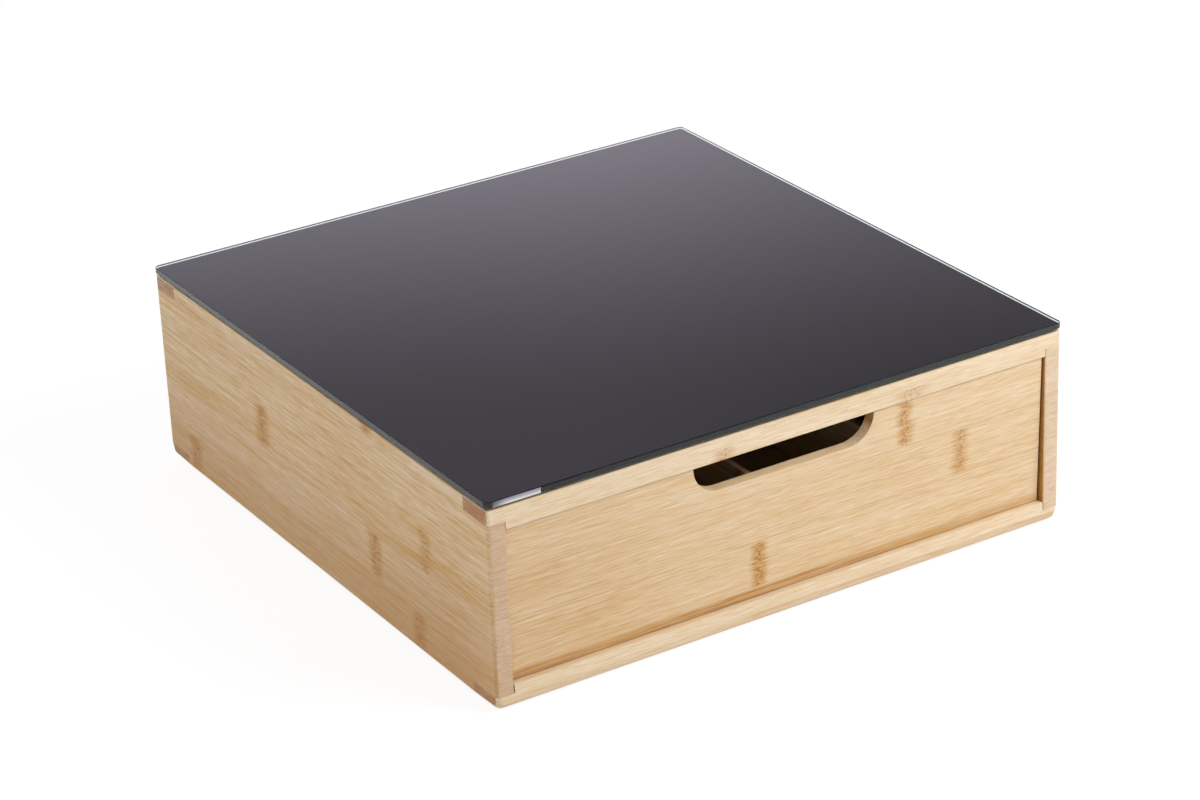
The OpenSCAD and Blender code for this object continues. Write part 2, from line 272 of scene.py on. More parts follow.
class Shader:
    """Adds nodes to one tree. Most methods return the socket that carries their result."""

    def __init__(self, tree):
        self.tree = tree

    def feed(self, socket, value):
        """Gives a socket its value, or links it to the socket that carries it."""
        if isinstance(value, bpy.types.NodeSocket):
            self.tree.links.new(value, socket)
        elif socket.type == "RGBA":
            socket.default_value = (*value, 1)
        else:
            socket.default_value = value

    def node(self, kind, inputs=None, **settings):
        made = self.tree.nodes.new(kind)
        for name, value in settings.items():
            setattr(made, name, value)
        for name, value in (inputs or {}).items():
            self.feed(made.inputs[name], value)
        return made

    def reckon(self, kind, operation, values):
        """Outputs of a node that works on values in the order of its sockets."""
        made = self.node(kind, operation=operation)
        for socket, value in zip(made.inputs, values):
            self.feed(socket, value)
        return made.outputs

    def math(self, operation, *values):
        return self.reckon("ShaderNodeMath", operation, values)["Value"]

    plus = partialmethod(math, "ADD")
    minus = partialmethod(math, "SUBTRACT")
    times = partialmethod(math, "MULTIPLY")
    times_plus = partialmethod(math, "MULTIPLY_ADD")
    greater = partialmethod(math, "MAXIMUM")
    size = partialmethod(math, "ABSOLUTE")

    def vectors(self, operation, *values):
        return self.reckon("ShaderNodeVectorMath", operation, values)["Vector"]

    def dot(self, first, second):
        return self.reckon("ShaderNodeVectorMath", "DOT_PRODUCT", (first, second))["Value"]

    def seat(self, kind="Object"):
        return self.node("ShaderNodeTexCoord").outputs[kind]

    def clamp(self, value):
        return self.node("ShaderNodeClamp", {"Value": value}).outputs["Result"]

    def vector(self, x, y, z):
        return self.node("ShaderNodeCombineXYZ", {"X": x, "Y": y, "Z": z}).outputs["Vector"]

    def parts(self, vector):
        return self.node("ShaderNodeSeparateXYZ", {"Vector": vector}).outputs

    def ease(self, value, low, high, start=0.0, end=1.0):
        """Goes smoothly from start to end as the value goes from low to high."""
        made = self.node("ShaderNodeMapRange", interpolation_type="SMOOTHSTEP", inputs={
            "Value": value, "From Min": low, "From Max": high, "To Min": start, "To Max": end,
        })
        return made.outputs["Result"]

    fade = partialmethod(ease, start=1.0, end=0.0)

    def noise(self, place, sizes, detail=2.0, shift=(0.0, 0.0, 0.0)):
        """Noise from 0 to 1 whose blobs have the given size along each axis."""
        scaled = self.vectors("DIVIDE", place, sizes)
        moved = self.vectors("ADD", scaled, shift)
        made = self.node("ShaderNodeTexNoise", {"Vector": moved, "Scale": 1.0, "Detail": detail})
        return made.outputs["Fac"]

    def spread(self, *noises):
        """Sum of noises, each taken about its middle and as strong as its share."""
        total = 0.0
        for noise, share in noises:
            total = self.times_plus(self.minus(noise, 0.5), share, total)
        return total

    def mix(self, share, first, second):
        """Blends two colours."""
        made = self.node("ShaderNodeMix", data_type="RGBA")
        sockets = {socket.identifier: socket for socket in (*made.inputs, *made.outputs)}
        self.feed(sockets["Factor_Float"], share)
        self.feed(sockets["A_Color"], first)
        self.feed(sockets["B_Color"], second)
        return sockets["Result_Color"]


def node_group(name, inputs, outputs, nodes="Shader"):
    """An empty group of nodes: its shader, what it is given and what it results in."""
    tree = bpy.data.node_groups.new(name, nodes + "NodeTree")
    for side, kinds in (("INPUT", inputs), ("OUTPUT", outputs)):
        for kind, sockets in kinds.items():
            for socket in sockets:
                tree.interface.new_socket(name=socket, in_out=side, socket_type="NodeSocket" + kind)
    shader = Shader(tree)
    return shader, shader.node("NodeGroupInput").outputs, shader.node("NodeGroupOutput").inputs


def shared_group(name, build):
    """The node group of that name, built when it is first needed."""
    return bpy.data.node_groups.get(name) or build(name)


def mark_group(name):
    """Node group for one fringed mark: a tan patch with short brown dashes in it."""
    shader, given, result = node_group(
        name, {"Vector": ("Place",), "Float": Mark._fields}, {"Float": ("Patch", "Dashes")}
    )
    along, across, _through = shader.parts(given["Place"])
    fringe = shader.noise(given["Place"], *FRINGE_GRAIN)
    raggedness = shader.math("MINIMUM", given["dash"], KNOT_DASH)
    ragged = shader.times(shader.minus(fringe, 0.5), raggedness)
    offset = shader.math("DIVIDE", shader.minus(along, given["along"]), given["half_length"])
    reach = shader.size(shader.plus(offset, ragged))
    side = shader.math("DIVIDE", shader.minus(across, given["across"]), given["half_width"])
    window = shader.fade(shader.size(side), 0.80, 1.02)
    dash_sizes = shader.vector(given["dash"], 1.0, 1.0)
    dashes = shader.ease(shader.noise(given["Place"], dash_sizes, 1.0), 0.48, 0.57)
    patch = shader.fade(reach, 0.45, 1.3)
    heart = shader.times(shader.fade(reach, 0.1, 0.9), dashes)
    strength = shader.times(window, given["strength"])
    shader.feed(result["Patch"], shader.times(patch, strength))
    shader.feed(result["Dashes"], shader.times(heart, strength))
    return shader.tree


def bamboo_group(name):
    """Node group for glued bamboo strips: their tones, fibres, seams, knots and sawn ends."""
    shader, given, result = node_group(
        name,
        {
            "Vector": ("Place", "Shift"),
            "Float": ("Strip width", "Patches", "Dashes", "End", *BOARD_VALUES),
            "Color": BAMBOO_COLOURS,
        },
        {"Color": ("Color",), "Float": ("Height",)},
    )
    _along, across, _through = shader.parts(given["Place"])
    offset = shader.minus(across, given["Strip edge"])
    strips = shader.math("DIVIDE", offset, given["Strip width"])
    strip = shader.math("FLOOR", strips)
    chance = shader.node("ShaderNodeTexWhiteNoise", {
        "Vector": shader.vectors("ADD", shader.vector(strip, 0.0, 0.0), given["Shift"]),
    }, noise_dimensions="3D")
    slide = shader.vectors("MULTIPLY", chance.outputs["Color"], (STRIP_SLIDE, 0.0, 0.0))
    place = shader.vectors("ADD", given["Place"], slide)
    drift = shader.spread((shader.noise(place, *DRIFT_GRAIN), GRAIN_DRIFT))
    place = shader.vectors("ADD", place, shader.vector(0.0, drift, 0.0))

    fine, strokes, coarse, broad, flecks = (
        shader.noise(place, *grain, given["Shift"])
        for grain in (FINE_GRAIN, STROKE_GRAIN, COARSE_GRAIN, BROAD_GRAIN, FLECK_GRAIN)
    )
    dashes = shader.ease(flecks, 0.58, 0.72)
    streaks = shader.spread((coarse, 0.75), (broad, 0.45), (chance.outputs["Value"], 0.22))
    lines = shader.spread((fine, 0.65), (strokes, 0.80))
    tone = shader.times_plus(streaks, given["Streaks"], given["Tone"])
    tone = shader.times_plus(lines, shader.plus(given["Streaks"], 0.5), tone)
    lowness = shader.fade(across, 0.0, given["Low reach"])
    tone = shader.clamp(shader.times_plus(given["Patches"], 0.40, tone))

    paint = shader.mix(tone, given["Pale"], given["Tan"])
    # Darker towards the foot of a board: partly the wood's browner tone, partly painted shade near the floor
    # and above the bottom rail
    paint = shader.mix(shader.times(lowness, given["Low tone"]), paint, given["Fibre"])
    paint = shader.mix(shader.times(dashes, 0.2), paint, given["Fibre"])
    # Marks blend towards the knot colour: in the knots and patches of the grain, and in the painted shade on
    # the inside faces of the side panels and on the left end of the drawer front
    knotted = shader.greater(shader.times(given["Patches"], 0.22), given["Dashes"])
    paint = shader.mix(knotted, paint, given["Knot"])

    ribs, specks, layers = (
        shader.noise(given["Place"], *grain, given["Shift"])
        for grain in (SAWN_RIBS, SAWN_SPECKS, SAWN_LAYERS)
    )
    rough = shader.spread((ribs, 0.60), (specks, 0.40), (layers, 0.20), (chance.outputs["Value"], 0.08))
    end_tone = shader.clamp(shader.plus(given["End tone"], rough))
    sawn = shader.mix(end_tone, given["End pale"], given["End dark"])
    whole = shader.mix(given["End"], paint, sawn)
    from_edge = shader.size(shader.minus(shader.math("FRACT", strips), 0.5))
    seam = shader.ease(from_edge, *SEAM, 0.0, shader.times_plus(given["End"], -0.2, 0.4))
    shader.feed(result["Color"], shader.mix(seam, whole, given["Fibre"]))
    shader.feed(result["Height"], shader.minus(shader.plus(fine, coarse), dashes))
    return shader.tree


def new_material(name, values=None):
    """A material with its shader and the inputs of its surface, some of which get plain values."""
    material = bpy.data.materials.new(name)
    material.use_nodes = True
    shader = Shader(material.node_tree)
    surface = material.node_tree.nodes["Principled BSDF"].inputs
    for socket, value in (values or {}).items():
        shader.feed(surface[socket], value)
    return material, shader, surface


def bamboo_material(finish, name, board):
    """The bamboo finish of one board, with its grain, strips and knots where that board has them."""
    material, shader, surface = new_material("bamboo_" + name)
    metres = dict(zip("xyz", shader.parts(shader.seat())))
    facing = dict(zip("xyz", shader.parts(shader.seat("Normal"))))
    place = shader.vectors("MULTIPLY", shader.vector(*[metres[axis] for axis in board.cut]), (1 / MM,) * 3)
    patches = 0.0
    dashes = 0.0
    for mark in board.marks:
        drawn = shader.node("ShaderNodeGroup", node_tree=shared_group("bamboo_mark", mark_group))
        for socket, value in zip(drawn.inputs, (place, *mark)):
            shader.feed(socket, value)
        patches = shader.greater(drawn.outputs["Patch"], patches)
        dashes = shader.greater(drawn.outputs["Dashes"], dashes)
    chance = random.Random(board.seed)
    values = {
        "Place": place,
        "Shift": [chance.uniform(0, 90) for _ in range(3)],
        "Strip width": finish.strip_width / MM,
        "Patches": patches,
        "Dashes": dashes,
        "End": shader.ease(shader.size(facing[board.cut.along]), *SAWN_FACING),
    }
    for source, names in ((board, BOARD_VALUES), (finish, BAMBOO_COLOURS)):
        for socket in names:
            values[socket] = getattr(source, socket.lower().replace(" ", "_"))
    figure = shader.node("ShaderNodeGroup", values, node_tree=shared_group("bamboo_figure", bamboo_group))
    shader.feed(surface["Base Color"], figure.outputs["Color"])
    height = figure.outputs["Height"]
    dulled = shader.times_plus(height, LACQUER_SPREAD, finish.gloss - LACQUER_SPREAD)
    shader.feed(surface["Roughness"], dulled)
    bump = shader.node("ShaderNodeBump", {"Height": height, "Strength": 0.35, "Distance": 0.03 * MM})
    shader.feed(surface["Normal"], bump.outputs["Normal"])
    return material


def knotted(node, board, finish):
    """A board with about one knot in each of its strips, at places that its seed decides."""
    chance = random.Random(board.seed)
    low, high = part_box(node)
    start, end = (getattr(corner, board.cut.along) / MM for corner in (low, high))
    bottom, top = (getattr(corner, board.cut.across) / MM for corner in (low, high))
    width = finish.strip_width / MM
    strip = math.floor((bottom - board.strip_edge) / width)
    marks = []
    while board.strip_edge + strip * width < top:
        middle = board.strip_edge + (strip + 0.5) * width
        marks.append(knot(chance.uniform(start + KNOT_MARGIN, end - KNOT_MARGIN), middle, finish))
        strip += 1
    return board._replace(marks=marks)


def knot(along, across, finish, strength=0.75, feathered=False):
    """A knot as wide as its strip, of short dashes or of long soft ones."""
    size, dash = (finish.feather_length, FEATHER_DASH) if feathered else (finish.knot_length, KNOT_DASH)
    return Mark(along, across, size / MM / 2, finish.strip_width / MM / 2, dash, strength)


def merged_copy(node):
    """A CAD node's mesh with its loose triangles merged into whole flat faces, ready for mesh work."""
    shape = bmesh.new()
    shape.from_mesh(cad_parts[node].data)
    bmesh.ops.remove_doubles(shape, verts=shape.verts, dist=WELD)
    bmesh.ops.dissolve_limit(shape, angle_limit=FLAT_ANGLE, verts=shape.verts, edges=shape.edges)
    return shape


def round_edges(shape, edges, radius, segments=2):
    """Rounds edges of a mesh."""
    bmesh.ops.bevel(
        shape, geom=edges, offset=radius, offset_type="OFFSET", segments=segments, profile=0.5,
        affect="EDGES", clamp_overlap=False,
    )


def is_sharp(edge):
    """Whether two faces meet at an angle along an edge."""
    return len(edge.link_faces) == 2 and edge.calc_face_angle() > SHARP_ANGLE


def sharp_edges(shape):
    """The long sharp edges of a mesh; the rims of dowel holes have only short ones."""
    return [edge for edge in shape.edges if is_sharp(edge) and edge.calc_length() > RIM_EDGE]


def add_piece(name, shape, body, slot, materials, *replaced):
    """Makes a finished mesh a piece of the object, on its body; the slot is not used."""
    mesh = bpy.data.meshes.new(name)
    shape.to_mesh(mesh)
    shape.free()
    return add_mesh_piece(name, mesh, body, slot, materials, *replaced)


def add_mesh_piece(name, mesh, body, slot, materials, *replaced):
    """Makes a mesh a piece of the object, smooth where it is round and flat where it is flat."""
    for material in materials:
        mesh.materials.append(material)
    mesh.polygons.foreach_set("use_smooth", [True] * len(mesh.polygons))
    mesh.set_sharp_from_angle(angle=SHARP_ANGLE)
    piece = bpy.data.objects.new(name, mesh)
    bpy.context.scene.collection.objects.link(piece)
    piece.modifiers.new("even_shading", "WEIGHTED_NORMAL").keep_sharp = True
    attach(piece, body)
    if replaced:
        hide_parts(*replaced)
    return piece


def add_board(finish, node, body, board, arris):
    """A bamboo board in place of its CAD node, with its edges eased."""
    shape = merged_copy(node)
    round_edges(shape, sharp_edges(shape), arris)
    material = bamboo_material(finish, node, board)
    return add_piece(node + "_board", shape, body, board.slot, [material], node)


class StepOperator:
    """What the operators share."""

    bl_options = {"REGISTER", "UNDO"}
    holder = "capsule_bamboo"

    def execute(self, context):
        self.make(getattr(context.scene, self.holder))
        return {"FINISHED"}


class CAPSULE_OT_side_panels(StepOperator, bpy.types.Operator):
    """Make the two side panels of the case"""

    bl_idname = "capsule.side_panels"
    bl_label = "Side panels"

    def make(self, bamboo):
        knots = (
            (52.3, 57.4, 0.7), (-54.8, 33.7, 0.85), (-101.5, 56.0, 0.6), (-92.2, 10.0, 1.0),
            (130.0, 10.0, 0.95), (-52.6, 104.7, 0.6),
        )
        marks = [knot(along, across, bamboo, strength, True) for along, across, strength in knots]
        marks.append(Mark(-115.0, 22.0, 80.0, 45.0, 60.0, 0.22))
        left = Board(
            "bamboo_side", LENGTHWISE, 0.49, 3, strip_edge=21.8, streaks=1.0, end_tone=0.36, low_tone=0.55,
            marks=marks,
        )
        left_panel = add_board(bamboo, "left_side_panel", "case", left, bamboo.joint_arris)
        right = Board(
            "bamboo_side", LENGTHWISE, 0.42, 8, strip_edge=21.0, streaks=0.75, end_tone=0.16, low_tone=0.30
        )
        right = knotted("right_side_panel", right, bamboo)
        right_panel = add_board(bamboo, "right_side_panel", "case", right, bamboo.joint_arris)
        # The inside faces of both side panels get a darker, browner tan all over, with dark dashes: painted
        # shade of the narrow gaps beside the drawer
        deep = Board(
            "bamboo_side", LENGTHWISE, 1.0, 9, low_tone=0.9, low_reach=400.0,
            marks=[Mark(0.0, 50.0, 400.0, 100.0, 60.0, 0.8)],
        )
        inside = bamboo_material(bamboo, "side_inside", deep)
        self.paint_inside(left_panel, inside, 1)
        self.paint_inside(right_panel, inside, -1)

    def paint_inside(self, panel, material, inwards):
        """Gives a side panel's inside face its painted shade: a darker, browner tan."""
        panel.data.materials.append(material)
        for face in panel.data.polygons:
            if face.normal.x * inwards > FACE_ON:
                face.material_index = 1


class CAPSULE_OT_rails(StepOperator, bpy.types.Operator):
    """Make the four rails that join the side panels"""

    bl_idname = "capsule.rails"
    bl_label = "Rails"

    def make(self, bamboo):
        front_top_marks = [Mark(-34.0, 90.2, 6.0, 3.0, 1.2, 0.55), Mark(68.0, 90.5, 9.0, 3.0, 1.2, 0.4)]
        bottom_marks = [Mark(0.0, 3.2, 400.0, 3.4, 60.0, 0.25)]
        rail = Board("bamboo_rail", CROSSWISE, 0.20, 12, streaks=0.5, end_tone=0.95)
        top = rail._replace(strip_edge=80.0, end_tone=0.80)
        rails = {
            "top_front_rail": top._replace(tone=0.17, seed=11, end_tone=0.88, marks=front_top_marks),
            "top_rear_rail": top,
            "bottom_front_rail": rail._replace(tone=0.14, seed=13, streaks=0.35, marks=bottom_marks),
            "bottom_rear_rail": rail._replace(seed=14),
        }
        for node, board in rails.items():
            shape = merged_copy(node)
            if node == "top_front_rail":
                self.close_left_joint(shape, bamboo)
            round_edges(shape, sharp_edges(shape), bamboo.joint_arris)
            if node.startswith("bottom"):
                self.round_foot_corners(shape, node, bamboo.corner_ball)
            material = bamboo_material(bamboo, node, board)
            add_piece(node + "_board", shape, "case", board.slot, [material], node)

    def close_left_joint(self, shape, bamboo):
        """Pushes a rail's left shoulder up to the side panel, where the joint shows no gap."""
        _low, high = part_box("left_side_panel")
        for corner in shape.verts:
            if 0 < corner.co.x - high.x < bamboo.joint_gap:
                corner.co.x = high.x

    def round_foot_corners(self, shape, node, radius):
        """Rounds the two outer corners at the foot of a bottom rail to a ball."""
        low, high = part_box(node)
        outer = low.y if low.y + high.y < 0 else high.y
        for side in (low.x, high.x):
            outwards = Vector((math.copysign(1, side), math.copysign(1, outer), -1))
            centre = Vector((side, outer, low.z)) - outwards * radius
            for axis in range(3):
                across = Vector([float(axis == other) for other in range(3)])
                parts = shape.verts[:] + shape.edges[:] + shape.faces[:]
                bmesh.ops.bisect_plane(shape, geom=parts, dist=WELD, plane_co=centre, plane_no=across)
            faces = [
                face for face in shape.faces
                if self.beyond(face.calc_center_median(), centre, outwards)
            ]
            bmesh.ops.triangulate(shape, faces=faces)
            edges = [
                edge for edge in shape.edges
                if all(self.beyond(end.co, centre, outwards) for end in edge.verts)
            ]
            bmesh.ops.subdivide_edges(shape, edges=edges, cuts=2, use_grid_fill=True)
            for corner in shape.verts:
                reach = corner.co - centre
                if self.beyond(corner.co, centre, outwards) and reach.length > radius:
                    corner.co = centre + reach.normalized() * radius

    def beyond(self, point, centre, outwards):
        """Whether a point lies further out than the centre of a corner's ball along all three axes."""
        return all((point[axis] - centre[axis]) * outwards[axis] > -WELD for axis in range(3))


class CAPSULE_OT_case_panels(StepOperator, bpy.types.Operator):
    """Make the thin panels of the case and the runners that carry the drawer"""

    bl_idname = "capsule.case_panels"
    bl_label = "Panels and runners"

    def make(self, bamboo):
        back = Board("bamboo_panel", CROSSWISE, 0.45, 21, strip_edge=5.0)
        bottom = back._replace(cut=FLAT_CROSSWISE, seed=22, strip_edge=4.0)
        runner = Board("bamboo_rail", FLAT_LENGTHWISE, 0.20, 23, streaks=0.5)
        boards = {
            "back_panel": knotted("back_panel", back, bamboo),
            "bottom_panel": knotted("bottom_panel", bottom, bamboo),
            "left_runner": runner,
            "right_runner": runner._replace(seed=24),
        }
        for node, board in boards.items():
            add_board(bamboo, node, "case", board, bamboo.joint_arris)


class CAPSULE_OT_drawer_front(StepOperator, bpy.types.Operator):
    """Make the drawer front with its finger slot"""

    bl_idname = "capsule.drawer_front"
    bl_label = "Drawer front"

    def make(self, bamboo):
        marks = [
            knot(-14.8, 28.8, bamboo, 0.9),
            knot(97.5, 52.5, bamboo, 0.6),
            knot(65.9, 76.0, bamboo),
            Mark(-60.0, 13.9, 260.0, 3.1, 40.0, 0.60),
            # A soft darker patch over the front's left end: painted shade
            Mark(-130.0, 55.0, 70.0, 60.0, 60.0, 0.17),
        ]
        # The front's sawn ends, in the finger slot and the narrow side gaps, take nearly the dark end-grain
        # tone, partly the end grain's own colour, partly painted shade of those recesses
        board = Board(
            "bamboo_front", CROSSWISE, 0.40, 31, strip_edge=17.0, streaks=0.5, end_tone=0.95, low_tone=0.8,
            low_reach=22.0, marks=marks,
        )
        shape = merged_copy("drawer_front")
        low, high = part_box("drawer_front")
        for corner in shape.verts:
            if corner.co.z < low.z + 2 * bamboo.front_reach:
                corner.co.z -= bamboo.front_reach
            if corner.co.z > high.z - 2 * bamboo.front_reach:
                corner.co.z += bamboo.front_reach
        rim = []
        for edge in shape.edges:
            if not is_sharp(edge):
                continue
            outlooks = [face.normal.y for face in edge.link_faces]
            by_slot = all(corner.co.z > high.z - bamboo.slot_rim for corner in edge.verts)
            if min(outlooks) < -FACE_ON or (max(outlooks) > FACE_ON and by_slot):
                rim.append(edge)
        round_edges(shape, rim, bamboo.front_arris, 3)
        material = bamboo_material(bamboo, "drawer_front", board)
        add_piece("drawer_front_board", shape, "drawer", board.slot, [material], "drawer_front")


class CAPSULE_OT_drawer_box(StepOperator, bpy.types.Operator):
    """Make the sides, back and bottom of the drawer"""

    bl_idname = "capsule.drawer_box"
    bl_label = "Drawer box"

    def make(self, bamboo):
        cuts = {
            "drawer_left_side": LENGTHWISE,
            "drawer_right_side": LENGTHWISE,
            "drawer_back": CROSSWISE,
            "drawer_bottom": FLAT_CROSSWISE,
        }
        for seed, (node, cut) in enumerate(cuts.items(), 41):
            board = Board("bamboo_box", cut, 0.45, seed, strip_edge=14.0)
            add_board(bamboo, node, "drawer", knotted(node, board, bamboo), bamboo.box_arris)


class CAPSULE_OT_dividers(StepOperator, bpy.types.Operator):
    """Make the dividers between the rows of capsules"""

    bl_idname = "capsule.dividers"
    bl_label = "Dividers"

    def make(self, bamboo):
        for seed, node in enumerate(("left_divider", "centre_divider", "right_divider"), 51):
            board = Board("bamboo_box", LENGTHWISE, 0.35, seed, strip_edge=20.0)
            add_board(bamboo, node, "drawer", knotted(node, board, bamboo), bamboo.box_arris)


class CAPSULE_OT_dowels(StepOperator, bpy.types.Operator):
    """Finish the dowels inside the joints"""

    bl_idname = "capsule.dowels"
    bl_label = "Dowels"

    def make(self, bamboo):
        board = Board("dowel", Cut("z", "x", "y"), 0.25, 61)
        material = bamboo_material(bamboo, "dowels", board)
        for node in ("case_dowels", "drawer_dowels"):
            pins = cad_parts[node]
            pins.data.materials.clear()
            pins.data.materials.append(material)


def glass_material(name, tint, roughness):
    """Clear glass with faint smears in its tint."""
    material, shader, surface = new_material(
        name, {"Transmission Weight": 1.0, "Roughness": roughness, "IOR": GLASS_IOR}
    )
    smears = shader.noise(shader.seat(), (50 * MM,) * 3, 3.0)
    smeared = [part * SMEAR_SHADE for part in tint]
    shader.feed(surface["Base Color"], shader.mix(smears, tint, smeared))
    return material, shader, surface


def ground_glass_material(glass):
    """Glass of the ground edges, which is partly matt, and most so away from the front left corner."""
    material, shader, surface = glass_material("glass_ground_edge", glass.edge_tint, glass.edge_roughness)
    sideways = shader.size(shader.parts(shader.seat("Normal"))["X"])
    matt = shader.ease(sideways, 0.3, 0.8, glass.matt_front, glass.matt_sides)
    low, _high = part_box("glass_top")
    place = shader.parts(shader.seat())
    corner = shader.plus(place["X"], place["Y"])
    away = shader.ease(corner, low.x + low.y, 0.0, glass.matt_near, 1.0)
    clear = shader.minus(1.0, shader.times(matt, away))
    shader.feed(surface["Transmission Weight"], clear)
    return material


def speckled_material(name, tint, roughness, grain, contrast, bump=0.0, values=None):
    """A dull finish with a fine grain in its tone, such as rubber, felt or film."""
    material, shader, surface = new_material(name, values)
    speckle = shader.noise(shader.seat(), (grain,) * 3, 3.0)
    light = [min(1.0, part * (1 + contrast)) for part in tint]
    dark = [part * (1 - contrast) for part in tint]
    shader.feed(surface["Base Color"], shader.mix(speckle, dark, light))
    shader.feed(surface["Roughness"], shader.times_plus(speckle, 0.1, roughness - 0.05))
    if bump:
        raised = shader.node("ShaderNodeBump", {"Height": speckle, "Strength": 0.5, "Distance": bump})
        shader.feed(surface["Normal"], raised.outputs["Normal"])
    return material


class CAPSULE_OT_glass_top(StepOperator, bpy.types.Operator):
    """Make the glass plate, the black film bonded to it and the plain foil strip on its edge"""

    bl_idname = "capsule.glass_top"
    bl_label = "Glass top"
    holder = "capsule_glass"

    def make(self, glass):
        self.make_plate(glass)
        self.make_film(glass)
        self.make_foil(glass)

    def make_plate(self, glass):
        shape = merged_copy("glass_top")
        for corner in shape.verts:
            corner.co.x -= math.copysign(glass.ground_off, corner.co.x)
            corner.co.y -= math.copysign(glass.ground_off, corner.co.y)
        rims = [
            edge for edge in shape.edges
            if is_sharp(edge) and edge.verts[0].co.z == edge.verts[1].co.z
        ]
        round_edges(shape, rims, glass.edge_round, 6)
        for face in shape.faces:
            face.material_index = 0 if abs(face.normal.z) > LEVEL else 1
        polished, _shader, _surface = glass_material("glass_polished", glass.tint, 0.0)
        materials = [polished, ground_glass_material(glass)]
        add_piece("glass_plate", shape, "case", "glass", materials, "glass_top")

    def make_film(self, glass):
        low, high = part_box("glass_backing")
        shape = merged_copy("glass_backing")
        for corner in shape.verts:
            if corner.co.z > (low.z + high.z) / 2:
                corner.co.z += glass.film_bond
        material = speckled_material(
            "film_black", glass.film, 0.5, 3 * MM, 0.06, values={"Specular IOR Level": 0.0}
        )
        add_piece("black_film_sheet", shape, "case", "black_film", [material], "glass_backing")

    def make_foil(self, glass):
        outer = self.foil_outline(glass, FOIL_OUTER)
        inner = self.foil_outline(glass, FOIL_INNER)
        shape = bmesh.new()
        end = shape.faces.new([shape.verts.new(point) for point in outer + inner[::-1]])
        pulled = bmesh.ops.extrude_face_region(shape, geom=[end])["geom"]
        corners = [part for part in pulled if isinstance(part, bmesh.types.BMVert)]
        bmesh.ops.translate(shape, verts=corners, vec=(glass.foil_length, 0, 0))
        bmesh.ops.recalc_face_normals(shape, faces=shape.faces)
        material = self.foil_material(glass, outer[0], outer[-1])
        add_piece("edge_foil_strip", shape, "case", "glass", [material])

    def foil_outline(self, glass, share):
        """Points round the front edge of the glass, at a share of the depth that is ground off."""
        low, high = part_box("glass_top")
        axis_y = low.y + glass.ground_off + glass.edge_round
        heights = (low.z + glass.edge_round, high.z - glass.edge_round)
        reach = glass.edge_round + glass.ground_off * share
        return [
            (
                low.x + glass.foil_inset,
                axis_y - reach * math.cos(slant),
                heights[slant > 0] + reach * math.sin(slant),
            )
            for slant in FOIL_SLANTS
        ]

    def foil_material(self, glass, bottom, top):
        """Streaky foil between two points of its outline, its colours a painted reflection: bright below,
        darker above, fading to dark at the end where it starts.
        """
        material, shader, surface = new_material("foil_silver", {"Roughness": 0.4, "Metallic": 0.3})
        seat = shader.seat()
        along, _depth, height = shader.parts(seat)
        streaks = shader.noise(seat, (3 * MM, 1 * MM, 0.3 * MM), 2.0)
        lift = shader.times_plus(streaks, 0.3 * MM, height)
        # Painted reflection: the strip is bright at its lower edge and darker above
        painted_reflection = shader.mix(shader.ease(lift, bottom[2], top[2]), glass.foil, glass.foil_shade)
        start = bottom[0]
        # Towards its start the painted reflection fades to dark
        fading = shader.ease(along, start, start + glass.foil_length / 3, 0.8, 0.0)
        shader.feed(surface["Base Color"], shader.mix(fading, painted_reflection, glass.foil_worn))
        return material


def disc_grid_tree(name):
    """Geometry nodes that set chamfered discs at the points of a grid."""
    build, given, result = node_group(
        name,
        {"Int": ("Columns", "Rows", "Sides"), "Float": ("Span X", "Span Y", "Radius", "Height", "Chamfer")},
        {"Geometry": ("Geometry",)},
        "Geometry",
    )
    grid = build.node("GeometryNodeMeshGrid", {
        "Size X": given["Span X"], "Size Y": given["Span Y"],
        "Vertices X": given["Columns"], "Vertices Y": given["Rows"],
    })
    wall = build.minus(given["Height"], given["Chamfer"])
    top = build.minus(given["Radius"], given["Chamfer"])
    disc = build.node("GeometryNodeJoinGeometry")
    for base, depth, radius in ((0.0, wall, given["Radius"]), (wall, given["Chamfer"], top)):
        part = build.node("GeometryNodeMeshCone", {
            "Vertices": given["Sides"], "Radius Bottom": given["Radius"], "Radius Top": radius,
            "Depth": depth,
        }, fill_type="NGON")
        raised = build.node("GeometryNodeTransform", {
            "Geometry": part.outputs["Mesh"], "Translation": build.vector(0.0, 0.0, base),
        })
        build.feed(disc.inputs["Geometry"], raised.outputs["Geometry"])
    placed = build.node("GeometryNodeInstanceOnPoints", {
        "Points": grid.outputs["Mesh"], "Instance": disc.outputs["Geometry"],
    })
    real = build.node("GeometryNodeRealizeInstances", {"Geometry": placed.outputs["Instances"]})
    build.feed(result["Geometry"], real.outputs["Geometry"])
    return build.tree


def disc_grid(name, values):
    """A plain mesh of chamfered discs, standing on the ground plane round the origin."""
    holder = bpy.data.objects.new(name, bpy.data.meshes.new(name))
    bpy.context.scene.collection.objects.link(holder)
    tree = shared_group("disc_grid", disc_grid_tree)
    modifier = holder.modifiers.new("disc_grid", "NODES")
    modifier.node_group = tree
    for socket in tree.interface.items_tree:
        if socket.in_out == "INPUT":
            modifier[socket.identifier] = values[socket.name]
    shown = holder.evaluated_get(bpy.context.evaluated_depsgraph_get())
    mesh = bpy.data.meshes.new_from_object(shown)
    bpy.data.objects.remove(holder)
    return mesh


